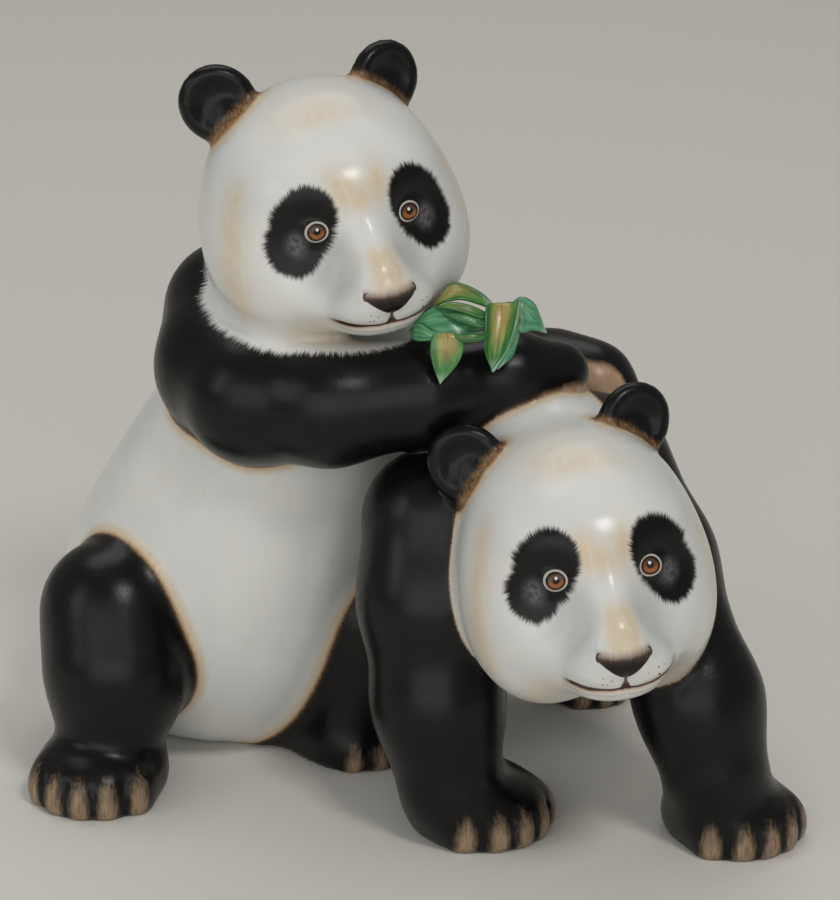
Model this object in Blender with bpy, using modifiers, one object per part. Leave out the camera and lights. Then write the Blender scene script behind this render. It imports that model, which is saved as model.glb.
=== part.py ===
"""A glazed porcelain group: a seated panda with its arms over a standing panda, and a sprig of leaves at its mouth.

The group is cast as one piece and the leaves are luted on before firing, so it is one solid. It faces -Y, stands on
z = 0, and its origin is at the middle of its footprint. Sizes below are in millimetres.
"""

import math

import bpy
import bmesh
from mathutils import Matrix, Vector

MM = 0.001

# ---- driving sizes -----------------------------------------------------------------------------------------------
SKULL_RADIUS = 41.0        # half the width of a head
CHEEK_RADIUS = 24.0
EYE_RADIUS = 5.4
EYE_SPREAD = 15.6          # from the middle of the face to an eye
NOSE_HALF_WIDTH = 8.6
EAR_RADIUS = 12.6
EAR_THICKNESS = 10.4
EAR_CUP_RADIUS = 9.6
FORE_PAW = (22.0, 26.5, 21.5)    # half width, half length, height
HIND_PAW = (16.0, 22.0, 16.5)
TOES = 5
LEAF_THICKNESS = 2.0

VOXEL = 1.5                # size of the cells in which the forms are fused
FILLET_PASSES = 26         # smoothing of the creases where forms meet
FINE_SHARE = 0.22          # how much of it reaches the toes, ears and nose
TRIANGLES = 8600           # of the body, without the leaves

FOOTPRINT_SHIFT = (-1.15, -0.86)   # brings the middle of the footprint to the origin

# Heads: centre, then yaw, pitch and roll in degrees. A negative pitch looks down.
SEATED_HEAD = ((-26.5, 17.0, 197.0), (19.8, -4.0, -7.2), 0.98)
STANDING_HEAD = ((53.5, -49.0, 99.6), (12.9, -7.7, -4.8), 0.93)
# Ears, in the head's own axes: right ear, left ear.
SEATED_EARS = ((-29.0, 13.5, 39.0), (29.0, 13.5, 37.5))
STANDING_EARS = ((-33.0, 13.5, 35.5), (26.0, 13.5, 41.0))

# Trunks: a row of (centre), (half sizes).
SEATED_TRUNK = (
    ((-66, 57, 42), (55, 49, 48)),
    ((-62, 48, 68), (52, 49, 46)),
    ((-49, 40, 106), (46.5, 44, 44)),
    ((-32, 37, 144), (37, 35, 36)),
    ((-27, 27, 172), (33, 31, 28)),
)
STANDING_TRUNK = (
    ((41, -20, 100), (33, 30, 37)),
    ((40, 6, 95), (35, 36, 39)),
    ((39, 36, 90), (37, 40, 39)),
    ((37, 72, 83), (38, 36, 41)),
)
# Limbs: joints as (x, y, z, radius), from the trunk outwards.
LIMBS = {
    "seated near arm": ((-58, 37, 156, 24), (-59, 17, 144, 23.5), (-51, -1, 140, 21.5), (-26, -13, 141, 19), (5, -15, 145, 15.5), (32, -9, 150, 12.5), (49, -5, 151, 10.5)),
    "seated far arm": ((-2, 61, 128, 19), (30, 47, 128, 13.5), (50, 39, 132, 12), (64, 33, 131, 10.5), (70, 27, 127, 8)),
    "seated near thigh": ((-91, 47, 29, 26), (-100, 13, 58, 22.5)),
    "seated near shin": ((-100, 13, 58, 22.5), (-99, 5, 41, 23), (-101, -1, 16, 17)),
    "seated far leg": ((-42, 51, 12, 24), (-9, 29, 48, 20), (-23, 23, 10, 14)),
    "standing neck": ((46, -13, 125, 29), (53, -41, 108, 31)),
    "standing near foreleg": ((8, -17, 102, 24), (7, -27, 78, 22.5), (9, -35, 46, 20), (13, -39, 19, 17.5)),
    "standing far foreleg": ((64, -7, 112, 20.5), (77, -19, 88, 20.5), (93, -37, 47, 19.5), (99, -43, 26, 18)),
    "standing near hind leg": ((19, 73, 62, 24), (15, 73, 20, 15)),
    "standing far hind leg": ((55, 75, 62, 24), (57, 79, 22, 15)),
}
# Paws: centre of the sole, yaw of the toes, sizes.
PAWS = {
    "seated near paw": ((-103, -5), -8, (22.5, 27, 23)),
    "seated far paw": ((-23, 30), 62, (17, 25, 17)),
    "standing near fore paw": ((20, -30), 22, FORE_PAW),
    "standing far fore paw": ((105, -36), 12, FORE_PAW),
    "standing near hind paw": ((13, 65), 5, HIND_PAW),
    "standing far hind paw": ((58, 81), 50, HIND_PAW),
}
# Leaves: points along the midrib, half width, the direction across the blade at its two ends.
LEAVES = {
    "cheek leaf": (((2, -12, 168), (10, -19, 168), (19, -19, 168), (29, -14, 168)), 6.5, (0.1, -0.35, 1.0), (0.1, -0.5, 1.0)),
    "upper leaf": (((8, -6, 176), (15, -14, 177), (23, -15, 173), (29, -13, 169)), 5.0, (0.1, -0.6, 1.0), (0.2, -0.6, 1.0)),
    "hanging leaf": (((12, -17, 167), (12, -27, 166), (11, -29.5, 160), (10, -31, 151)), 5.6, (1.0, 0.0, 0.0), (1.0, 0.0, 0.1)),
    "folded leaf": (((31, -2, 166), (30, -12, 175), (29, -21, 169), (28, -24, 151)), 5.0, (1.0, 0.1, 0.0), (1.0, 0.1, 0.1)),
    "arched leaf": (((32, -13, 157), (35, -14, 171), (39, -10, 173), (44, -6, 158)), 5.0, (0.5, -0.8, 0.2), (0.4, -0.9, 0.0)),
}


def turned(yaw=0.0, pitch=0.0, roll=0.0):
    """Yaw about Z, then pitch about the new X, then roll about the new Y."""
    a, b, c = (math.radians(v) for v in (yaw, pitch, roll))
    return (Matrix.Rotation(a, 3, "Z") @ Matrix.Rotation(b, 3, "X") @ Matrix.Rotation(c, 3, "Y")).to_4x4()


def unit_ball(rings=22):
    """A ball of radius 1, from which every rounded form is made."""
    bm = bmesh.new()
    bmesh.ops.create_uvsphere(bm, u_segments=2 * rings, v_segments=rings, radius=1.0)
    mesh = bpy.data.meshes.new("unit_ball")
    bm.to_mesh(mesh)
    bm.free()
    return mesh


def add_ball(bm):
    """Adds the unit ball to the forms and returns its vertices."""
    before = len(bm.verts)
    bm.from_mesh(bpy.data.meshes["unit_ball"])
    bm.verts.ensure_lookup_table()
    return bm.verts[before:]


def ellipsoid(bm, centre, radii, frame=None, turn=None):
    """A ball stretched to the half sizes, turned in place, and set in the frame of a head or paw."""
    place = (frame or Matrix()) @ Matrix.Translation(Vector(centre)) @ (turn or Matrix()) @ Matrix.Diagonal((*radii, 1.0))
    for vert in add_ball(bm):
        vert.co = place @ vert.co


def round_cone(bm, a, ra, b, rb, frame=None):
    """Two balls and the taper between them: each half of one sphere goes to its own end."""
    a, b = Vector(a), Vector(b)
    axis = b - a
    made = add_ball(bm)
    turn = axis.to_track_quat("Z", "Y")
    for vert in made:
        n = turn @ vert.co
        vert.co = b + n * rb if vert.co.z > -1e-6 else a + n * ra
    if frame:
        for vert in made:
            vert.co = frame @ vert.co


def trunk(bm, stations, between=6):
    """Balls that follow each other closely along the spine, so that the trunk has one even skin."""
    rows = [(*centre, *radii) for centre, radii in stations]
    rows = [rows[0], *rows, rows[-1]]
    for a, b, c, d in zip(rows[:-3], rows[1:-2], rows[2:-1], rows[3:]):
        for step in range(between):
            t = step / between
            spline = [0.5 * (2 * q + (r - p) * t + (2 * p - 5 * q + 4 * r - w) * t * t + (3 * q - p - 3 * r + w) * t**3) for p, q, r, w in zip(a, b, c, d)]
            ellipsoid(bm, spline[:3], spline[3:])
    ellipsoid(bm, rows[-1][:3], rows[-1][3:])


def limb(bm, joints):
    for (ax, ay, az, ra), (bx, by, bz, rb) in zip(joints[:-1], joints[1:]):
        round_cone(bm, (ax, ay, az), ra, (bx, by, bz), rb)


def head_frame(head):
    centre, (yaw, pitch, roll), _ = head
    return Matrix.Translation(Vector(centre)) @ turned(yaw, pitch, roll)


def head_forms(bm, head):
    frame, wide = head_frame(head), head[2]
    ellipsoid(bm, (0, 6, 4), (SKULL_RADIUS * wide, SKULL_RADIUS, SKULL_RADIUS - 1.5), frame)
    ellipsoid(bm, (0, -1, -7), (43.5 * wide, 37.5, 34), frame)
    for side in (-1, 1):
        ellipsoid(bm, (side * 19 * wide, -5, -13), (CHEEK_RADIUS * wide, 28, 25), frame)
        ellipsoid(bm, (side * 10, -22, 12), (19, 16.5, 14), frame)
        ellipsoid(bm, (side * 7.0, -44.0, -21.5), (9.6, 8.9, 8.0), frame)
        ellipsoid(bm, (side * EYE_SPREAD, -31.4, 3.4), (EYE_RADIUS, EYE_RADIUS, EYE_RADIUS), frame)
    ellipsoid(bm, (0, -31, -18), (24, 19.5, 17), frame, turned(pitch=8))
    round_cone(bm, (0, -26, 2), 14.0, (0, -43.5, -14), 10.4, frame)
    ellipsoid(bm, (0, -36.5, -28.5), (12.5, 11.5, 7.2), frame)
    ellipsoid(bm, (0, -51.5, -15.5), (NOSE_HALF_WIDTH, 5.6, 5.6), frame, turned(pitch=-16))


def ear_turn(side):
    return turned(yaw=side * 14, roll=side * 36)


def ear_discs(bm, head, ears):
    frame = head_frame(head)
    for side, centre in zip((-1, 1), ears):
        ellipsoid(bm, centre, (EAR_RADIUS, EAR_THICKNESS / 2 + 0.6, EAR_RADIUS + 0.8), frame, ear_turn(side))


def ear_cups(bm, head, ears):
    """What is hollowed out of the front of each ear."""
    frame = head_frame(head)
    for side, centre in zip((-1, 1), ears):
        turn = ear_turn(side)
        ellipsoid(bm, Vector(centre) + turn @ Vector((0, -6.6, 1.5)), (EAR_CUP_RADIUS, 5.6, EAR_CUP_RADIUS), frame, turn)


def ear_roots(bm, head, ears):
    frame = head_frame(head)
    for side, centre in zip((-1, 1), ears):
        turn = ear_turn(side)
        top = Vector(centre) + turn @ Vector((0, 1.5, -6))
        root = Vector(centre) + turn @ Vector((0, 1, -15))
        round_cone(bm, top, 6.2, root, 11.5, frame)


def paw_forms(bm, sole, yaw, size):
    wide, long, high = size
    frame = Matrix.Translation((sole[0], sole[1], 0)) @ turned(yaw)
    ellipsoid(bm, (0, long * 0.06, high * 0.40), (wide * 0.98, long * 0.91, high * 0.69), frame)
    for i in range(TOES):
        t = (i - (TOES - 1) / 2) / ((TOES - 1) / 2)
        toe = (t * wide * 0.72, -long * (0.72 - 0.30 * t * t), high * 0.24)
        ellipsoid(bm, toe, (wide * 0.225, long * 0.31, high * 0.48), frame, turned(yaw=t * 22))


def fine_places():
    """Where the carving is small: (centre, reach) of the toes, ears and noses."""
    for sole, yaw, (_, long, _) in PAWS.values():
        toes = Matrix.Translation((sole[0], sole[1], 0)) @ turned(yaw) @ Vector((0, -long * 0.75, 3))
        yield toes, long * 0.85
    for head, ears in ((SEATED_HEAD, SEATED_EARS), (STANDING_HEAD, STANDING_EARS)):
        frame = head_frame(head)
        for centre in ears:
            yield frame @ Vector(centre), 17.0
        yield frame @ Vector((0, -54, -16)), 9.0


def soften(made):
    """Fillets the creases, and spares the small carving."""
    group = made.vertex_groups.new(name="soft")
    places = [(centre * MM, reach * MM) for centre, reach in fine_places()]
    for vert in made.data.vertices:
        near = min((vert.co - centre).length / reach for centre, reach in places)
        share = min(max((near - 0.8) / 0.5, 0.0), 1.0)
        group.add([vert.index], FINE_SHARE + (1 - FINE_SHARE) * share, "REPLACE")
    smooth = made.modifiers.new("Soften", "SMOOTH")
    smooth.factor = 0.5
    smooth.iterations = FILLET_PASSES
    smooth.vertex_group = "soft"
    settle(made)


def new_object(name, bm, collection):
    """A mesh object from forms in millimetres."""
    bmesh.ops.scale(bm, vec=(MM, MM, MM), verts=bm.verts)
    bmesh.ops.recalc_face_normals(bm, faces=bm.faces)
    mesh = bpy.data.meshes.new(name)
    bm.to_mesh(mesh)
    bm.free()
    made = bpy.data.objects.new(name, mesh)
    collection.objects.link(made)
    return made


def settle(made):
    """Makes the object's modifiers part of its mesh."""
    bpy.context.view_layer.update()
    evaluated = made.evaluated_get(bpy.context.evaluated_depsgraph_get())
    mesh = bpy.data.meshes.new_from_object(evaluated)
    made.modifiers.clear()
    old, made.data = made.data, mesh
    bpy.data.meshes.remove(old)
    mesh.name = made.name


def boolean(made, other, operation):
    cut = made.modifiers.new(operation.title(), "BOOLEAN")
    cut.operation = operation
    cut.solver = "EXACT"
    cut.object = other


def leaf(name, midrib, half_width, across_base, across_tip, collection):
    """A blade bent along its midrib: widest in the middle, pointed at the tip, with a shallow fold."""
    rows, columns = 9, 4
    points = [Vector(p) for p in midrib]
    bm = bmesh.new()
    bmesh.ops.create_grid(bm, x_segments=columns, y_segments=rows, size=1.0)
    for vert in bm.verts:
        t, s = (vert.co.y + 1) / 2, vert.co.x
        u = 1 - t
        on = points[0] * u**3 + points[1] * 3 * u * u * t + points[2] * 3 * u * t * t + points[3] * t**3
        along = ((points[1] - points[0]) * u * u + (points[2] - points[1]) * 2 * u * t + (points[3] - points[2]) * t * t).normalized()
        across = Vector(across_base).lerp(Vector(across_tip), t)
        across = (across - along * across.dot(along)).normalized()
        wide = half_width * (0.30 + 0.70 * math.sin(math.pi * min(t / 0.86, 1.0) ** 0.8)) if t < 0.86 else half_width * (0.30 - 0.08 * (t - 0.86) / 0.14)
        vert.co = on + across * s * wide + along.cross(across) * abs(s) * wide * 0.22
    made = new_object(name, bm, collection)
    thick = made.modifiers.new("Thickness", "SOLIDIFY")
    thick.thickness = LEAF_THICKNESS * MM
    thick.offset = 0.0
    thick.use_even_offset = False
    settle(made)
    return made


def porcelain():
    """White body under a satin glaze."""
    material = bpy.data.materials.new("glazed_porcelain")
    material.use_nodes = True
    shader = material.node_tree.nodes["Principled BSDF"]
    shader.inputs["Base Color"].default_value = (0.80, 0.79, 0.76, 1.0)
    shader.inputs["Roughness"].default_value = 0.22
    shader.inputs["Metallic"].default_value = 0.0
    return material


def flat_underside(made):
    """Cuts the group off level where it stands and closes the soles."""
    bm = bmesh.new()
    bm.from_mesh(made.data)
    cut = bmesh.ops.bisect_plane(
        bm, geom=bm.verts[:] + bm.edges[:] + bm.faces[:], plane_co=(0, 0, 0), plane_no=(0, 0, 1), clear_inner=True, dist=1e-6
    )
    rim = [e for e in cut["geom_cut"] if isinstance(e, bmesh.types.BMEdge)]
    bmesh.ops.holes_fill(bm, edges=rim, sides=0)
    bmesh.ops.triangulate(bm, faces=bm.faces[:])
    bm.to_mesh(made.data)
    bm.free()


def outer_skin_only(made):
    """Drops the small closed pockets that fused forms can shut in, and keeps the outside."""
    bm = bmesh.new()
    bm.from_mesh(made.data)
    left, largest = set(bm.verts), []
    while left:
        found, edge = [], [left.pop()]
        while edge:
            vert = edge.pop()
            found.append(vert)
            for link in vert.link_edges:
                other = link.other_vert(vert)
                if other in left:
                    left.remove(other)
                    edge.append(other)
        largest = max(largest, found, key=len)
    keep = set(largest)
    bmesh.ops.delete(bm, geom=[v for v in bm.verts if v not in keep], context="VERTS")
    bm.to_mesh(made.data)
    bm.free()


def main():
    for old in list(bpy.data.objects):
        bpy.data.objects.remove(old, do_unlink=True)
    group = bpy.data.collections.new("panda_figurine")
    cutters = bpy.data.collections.new("cutters")
    for collection in (group, cutters):
        bpy.context.scene.collection.children.link(collection)

    unit_ball()
    heads = ((SEATED_HEAD, SEATED_EARS), (STANDING_HEAD, STANDING_EARS))
    discs, cups = bmesh.new(), bmesh.new()
    for head, ears in heads:
        ear_discs(discs, head, ears)
        ear_cups(cups, head, ears)
    hollow_ears = new_object("ears", discs, cutters)
    cup_cutter = new_object("ear_cups", cups, cutters)
    boolean(hollow_ears, cup_cutter, "DIFFERENCE")
    settle(hollow_ears)

    forms = bmesh.new()
    forms.from_mesh(hollow_ears.data)
    bmesh.ops.scale(forms, vec=(1 / MM, 1 / MM, 1 / MM), verts=forms.verts)
    trunk(forms, SEATED_TRUNK)
    trunk(forms, STANDING_TRUNK)
    for joints in LIMBS.values():
        limb(forms, joints)
    for sole, yaw, size in PAWS.values():
        paw_forms(forms, sole, yaw, size)
    for head, ears in heads:
        head_forms(forms, head)
        ear_roots(forms, head, ears)
    pair = new_object("panda_pair", forms, group)
    for tool in (hollow_ears, cup_cutter):
        tool.hide_render = True
        tool.display_type = "WIRE"

    fuse = pair.modifiers.new("Fuse", "REMESH")
    fuse.mode = "VOXEL"
    fuse.voxel_size = VOXEL * MM
    settle(pair)
    outer_skin_only(pair)
    soften(pair)

    flat_underside(pair)
    count = len(pair.data.polygons)
    fewer = pair.modifiers.new("Facets", "DECIMATE")
    fewer.ratio = TRIANGLES / count
    settle(pair)

    for name, (midrib, half_width, base, tip) in LEAVES.items():
        blade = leaf(name.replace(" ", "_"), midrib, half_width, base, tip, cutters)
        blade.hide_render = True
        blade.display_type = "WIRE"
        boolean(pair, blade, "UNION")
        settle(pair)

    outer_skin_only(pair)
    pair.data.transform(Matrix.Translation((FOOTPRINT_SHIFT[0] * MM, FOOTPRINT_SHIFT[1] * MM, 0)))
    for vert in pair.data.vertices:
        if vert.co.z < 0.2 * MM:
            vert.co.z = 0.0
    pair.data.materials.clear()
    pair.data.materials.append(porcelain())
    pair.data.shade_smooth()
    pair.data.set_sharp_from_angle(angle=math.radians(50))


main()
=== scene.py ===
import math

import bmesh
import bpy
import numpy as np
import openvdb as vdb
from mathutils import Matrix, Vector


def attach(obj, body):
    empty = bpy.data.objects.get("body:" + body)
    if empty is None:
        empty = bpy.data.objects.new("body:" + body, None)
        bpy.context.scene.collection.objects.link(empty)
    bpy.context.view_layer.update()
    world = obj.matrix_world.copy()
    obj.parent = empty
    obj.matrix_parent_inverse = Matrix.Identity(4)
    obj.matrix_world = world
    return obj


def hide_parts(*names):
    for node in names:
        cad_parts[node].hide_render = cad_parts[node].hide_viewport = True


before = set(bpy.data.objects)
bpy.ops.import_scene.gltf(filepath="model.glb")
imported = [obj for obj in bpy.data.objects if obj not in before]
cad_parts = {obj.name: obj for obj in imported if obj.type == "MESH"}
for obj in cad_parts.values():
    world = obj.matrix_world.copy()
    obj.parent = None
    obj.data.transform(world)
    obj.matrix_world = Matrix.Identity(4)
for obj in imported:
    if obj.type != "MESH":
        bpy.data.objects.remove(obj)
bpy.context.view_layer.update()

MM = 0.001
GRID = 1.87

# ---- camera: 20 degrees above level, 1.3 m away ------------------------------------------------------------------
AIM = np.array([1.85, -1.86, 120.5])
RISE = math.radians(20)
BACK = np.array([0.0, -math.cos(RISE), math.sin(RISE)])
EYE_POINT = AIM + 1300.0 * BACK
FOCAL = 3965.0


def seen(u, v, y):
    """The point at depth y that lies at column u and row v of the 840 by 900 frame, in millimetres."""
    up = np.array([0.0, math.sin(RISE), math.cos(RISE)])
    ray = -BACK + (u - 420.0) / FOCAL * np.array([1.0, 0, 0]) + (450.0 - v) / FOCAL * up
    return EYE_POINT + ray * (y - EYE_POINT[1]) / ray[1]


camera_data = bpy.data.cameras.new("camera")
camera_data.sensor_fit = "AUTO"
camera_data.sensor_width = 36.0
camera_data.lens = 158.6
camera_data.clip_end = 30.0
camera = bpy.data.objects.new("camera", camera_data)
bpy.context.scene.collection.objects.link(camera)
camera.location = Vector(EYE_POINT * MM)
camera.rotation_euler = (math.radians(90) - RISE, 0, 0)
bpy.context.scene.camera = camera


# ---- rounded forms as distances, in millimetres ------------------------------------------------------------------
def turned(yaw=0.0, pitch=0.0, roll=0.0):
    """Columns are the local axes: yaw about Z, then pitch about the new X, then roll about the new Y."""
    a, b, c = (math.radians(x) for x in (yaw, pitch, roll))
    rz = np.array([[math.cos(a), -math.sin(a), 0], [math.sin(a), math.cos(a), 0], [0, 0, 1]])
    rx = np.array([[1, 0, 0], [0, math.cos(b), -math.sin(b)], [0, math.sin(b), math.cos(b)]])
    ry = np.array([[math.cos(c), 0, math.sin(c)], [0, 1, 0], [-math.sin(c), 0, math.cos(c)]])
    return rz @ rx @ ry


def ell(p, c, r, turn=None):
    q = p - np.asarray(c, float)
    if turn is not None:
        q = q @ turn
    r = np.asarray(r, float)
    k0 = np.sqrt(((q / r) ** 2).sum(-1)) + 1e-9
    k1 = np.sqrt(((q / (r * r)) ** 2).sum(-1)) + 1e-9
    return k0 * (k0 - 1.0) / k1


def ball(p, c, r):
    return np.sqrt(((p - np.asarray(c, float)) ** 2).sum(-1)) - r


def cone(p, a, ra, b, rb):
    """The hull of a ball at a and a ball at b."""
    a, b = np.asarray(a, float), np.asarray(b, float)
    ba = b - a
    l2 = float(ba @ ba)
    rr = ra - rb
    a2 = l2 - rr * rr
    if a2 <= 1e-6:
        return np.minimum(ball(p, a, ra), ball(p, b, rb))
    il2 = 1.0 / l2
    pa = p - a
    y = pa @ ba
    z = y - l2
    x2 = ((pa * l2 - y[..., None] * ba) ** 2).sum(-1)
    y2, z2 = y * y * l2, z * z * l2
    k = np.sign(rr) * rr * rr * x2
    d1 = np.sqrt(x2 + z2) * il2 - rb
    d2 = np.sqrt(x2 + y2) * il2 - ra
    d3 = (np.sqrt(x2 * a2 * il2) + y * rr) * il2 - ra
    return np.where(np.sign(z) * a2 * z2 > k, d1, np.where(np.sign(y) * a2 * y2 < k, d2, d3))


def smin(a, b, k):
    h = np.maximum(k - np.abs(a - b), 0.0) / k
    return np.minimum(a, b) - h * h * k * 0.25


def smax(a, b, k):
    return -smin(-a, -b, k)


def chain(p, joints, k=8.0):
    d = None
    for a, b in zip(joints[:-1], joints[1:]):
        c = cone(p, a[:3], a[3], b[:3], b[3])
        d = c if d is None else smin(d, c, k)
    return d


def blend(ds, k):
    d = ds[0]
    for x in ds[1:]:
        d = smin(d, x, k)
    return d


def near(p, centre, reach, form):
    """form(p) inside the reach, and a safe distance outside it, which saves time."""
    away = np.sqrt(((p - np.asarray(centre, float)) ** 2).sum(-1))
    d = away - reach * 0.75
    m = away < reach
    if m.any():
        d = d.copy()
        d[m] = form(p[m])
    return d


# ---- the two pandas ----------------------------------------------------------------------------------------------
SEATED_C, SEATED_R, SEATED_W = np.array([-27.1, 16.1, 196.7]), turned(18.8, -4.0, -7.2), 0.985
STAND_C, STAND_R, STAND_W = np.array([53.7, -49.9, 100.4]), turned(9.6, -7.7, -4.8), 0.93
SEATED_EARS = ((-28.2, 13.5, 39.8), (28.2, 13.5, 35.9))
STAND_EARS = ((-31.6, 13.5, 33.6), (23.2, 13.5, 39.4))
# centre, axes, width, ears, how much longer the lower face is, and the eyes' and patches' heights
HEADS = (
    (SEATED_C, SEATED_R, SEATED_W, SEATED_EARS, 1.0, (-15.6, 4.0), (15.6, 4.0), 3.6),
    (STAND_C, STAND_R, STAND_W, STAND_EARS, 1.09, (-15.7, 4.6), (14.4, 5.2), 5.6),
)
FORE_PAW, HIND_PAW = (22.0, 26.5, 21.5), (16.0, 22.0, 16.5)
PAWS = {
    "seated_near": ((-105.4, -5.2), -13, (22.5, 27, 23)),
    "seated_far": ((-24.6, 28.6), 52, (17, 25, 17)),
    "stand_fore_near": ((21.0, -31.2), 38, (22.5, 26.0, 21.5)),
    "stand_fore_far": ((104.0, -37.5), 29, (22.0, 25.5, 20.5)),
    "stand_hind_near": ((11.8, 64.1), 5, HIND_PAW),
    "stand_hind_far": ((56.9, 80.1), 50, HIND_PAW),
}
LIMBS = {
    "seated_arm_near": ((-59.6, 36.1, 156.4, 24), (-60.5, 16.1, 143.8, 24.3), (-52, -1.9, 139.9, 22.4), (-27.2, -13.9, 141, 20.1), (3.5, -15.9, 145.2, 16.8), (31, -9.9, 149.2, 13.6), (46.4, -5.9, 148.6, 10.3)),
    "seated_arm_far": ((-3.3, 60.1, 128.5, 19), (28.9, 46.1, 130.0, 14.0), (46.5, 38.0, 133.2, 13.0), (59.6, 31.0, 132.3, 11.8), (66.6, 26.0, 127.2, 9.2)),
    "seated_leg_near_a": ((-91.9, 46.1, 29.1, 26), (-101.5, 12.1, 58.1, 22.5)),
    "seated_leg_near_b": ((-101.5, 12.1, 58.1, 22.5), (-99.7, 4.1, 41.4, 23), (-102.6, -1.9, 15.8, 17)),
    "seated_leg_far": ((-43.6, 50.1, 12.3, 24), (-10.1, 28.1, 47.8, 20), (-23.9, 22.1, 10.3, 14)),
    "stand_neck": ((41.4, -11.9, 119.4, 27.5), (52.3, -41.9, 105.4, 31)),
    "stand_fore_near": ((6.7, -17.9, 102.1, 24), (5.8, -27.9, 78, 22.5), (7.7, -35.9, 46.1, 20), (11.7, -39.9, 19.3, 17.5)),
    "stand_fore_far": ((62.4, -4.9, 118.5, 21.0), (76.9, -19.9, 88.9, 20), (92.7, -37.9, 47, 19.3), (97.7, -43.9, 26.5, 17.8)),
    "stand_hind_near": ((17.9, 72.1, 62, 24), (13.8, 72.1, 20, 15)),
    "stand_hind_far": ((53.9, 74.1, 62, 24), (55.9, 78.1, 22, 15)),
}
MOUTH = ((0, 3, 7, 12, 15.5, 18, 21), (-25.2, -25.9, -25.6, -24.8, -23.4, -22.4, -21.4))
EYE = (15.5, -33.8, 4.2)


def head_form(q, w, drop):
    """q is in the head's own axes: -Y the face, +Z the crown; the lower face is drop times as long."""
    q = q.copy()
    q[..., 2] = np.where(q[..., 2] < 0, q[..., 2] / drop, q[..., 2])
    s = q.copy()
    s[..., 0] = np.sqrt(q[..., 0] ** 2 + 1.6)
    wide = q.copy()
    wide[..., 0] = np.sqrt(q[..., 0] ** 2 + 12.0) / w
    skull = ell(wide, (0, 6, 4), (41.0, 41, 39.5))
    cheek = ell(wide, (19, -5, -13), (23.5, 28, 25))
    d = smin(skull, cheek, 16)
    d = smin(d, ell(q, (0, -20.5, 14.0), (25.5, 15.0, 11.0)), 16)
    d = smin(d, ell(q, (0, -33, -17), (21.0, 18.0, 14.0), turned(pitch=8)), 13)
    d = smin(d, cone(q, (0, -30, 1), 10.5, (0, -45, -12.5), 8.4), 11)
    d = smin(d, ell(s, (6.4, -45.0, -19.2), (9.6, 8.0, 6.9)), 5)
    d = smin(d, ell(q, (0, -38.8, -25.6), (13.0, 10.4, 5.0), turned(pitch=6)), 5.0)
    d = smax(d, -ell(s, (20.0, -43, 0), (9.0, 5.6, 11.0), turned(yaw=28, roll=20)), 12)
    d = smin(d, ball(s, (EYE[0], -30.7, EYE[2]), 5.6), 1.4)
    lid = np.abs(np.sqrt((s[..., 0] - EYE[0]) ** 2 + ((s[..., 2] - EYE[2]) * 1.1) ** 2) - 4.5)
    d = d + 0.28 * np.exp(-((lid / 0.55) ** 2)) * (q[..., 1] < -20)
    d = smin(d, ell(q, (0, -51.6, -16.2), (8.9, 4.9, 5.2), turned(pitch=-16)), 2.4)
    nostril = ell(s, (4.9, -56.2, -18.2), (1.5, 1.2, 0.7), turned(roll=28))
    d = smax(d, -nostril, 0.9)
    front = q[..., 1] < -22
    line = np.abs(q[..., 2] - np.interp(s[..., 0], *MOUTH))
    reach = np.clip((17.0 - s[..., 0]) / 4.5, 0, 1)
    d = d + 0.5 * np.exp(-((line / 0.9) ** 2)) * reach * front
    split = np.abs(q[..., 0])
    d = d + 0.6 * np.exp(-((split / 0.85) ** 2)) * front * np.clip((q[..., 2] + 25.4) / 0.8, 0, 1) * np.clip((-20.8 - q[..., 2]) / 1.2, 0, 1)
    return d


def ear_form(q, side, centre):
    centre = np.array(centre, float)
    turn = turned(yaw=side * 14, roll=side * 36)
    disc = ell(q, centre, (12.6, 5.6, 13.4), turn)
    cup = ell(q, centre + turn @ np.array([0, -6.3, 1.2]), (9.9, 5.9, 10.0), turn)
    d = smax(disc, -cup, 1.8)
    root = cone(q, centre - turn @ np.array([0, -1.2, 6.0]), 6.0, centre - turn @ np.array([0, -1, 15.0]), 11)
    return smin(d, root, 5)


def paw_form(q, size):
    """q is in the paw's own axes: the toes point along -Y, the sole is at z = 0."""
    w, l, h = size
    d = ell(q, (0, l * 0.02, h * 0.30), (w * 0.99, l * 0.96, h * 0.70))
    for i in range(5):
        t = (i - 2) / 2
        d = smin(d, ell(q, (t * w * 0.70, -l * (0.69 - 0.29 * t * t), h * 0.20), (w * 0.20, l * 0.26, h * 0.38), turned(yaw=t * 22)), 6.5)
    for i in range(4):
        t = (i - 1.5) / 2
        at = (q - np.array([t * w * 0.73, -l * (0.74 - 0.29 * t * t), 0.0])) @ turned(yaw=t * 24)
        d = d + 0.9 * np.exp(-((at[..., 0] / 1.1) ** 2)) * np.clip((4.0 - at[..., 1]) / 4.0, 0, 1) * np.clip((h * 0.60 - q[..., 2]) / 4.0, 0, 1) * np.clip((q[..., 2] + 1.0) / 6.0, 0, 1)
    return d


def paw_local(p, paw):
    (x, y), yaw, _ = paw
    return (p - np.array([x, y, 0.0])) @ turned(yaw)


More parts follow.
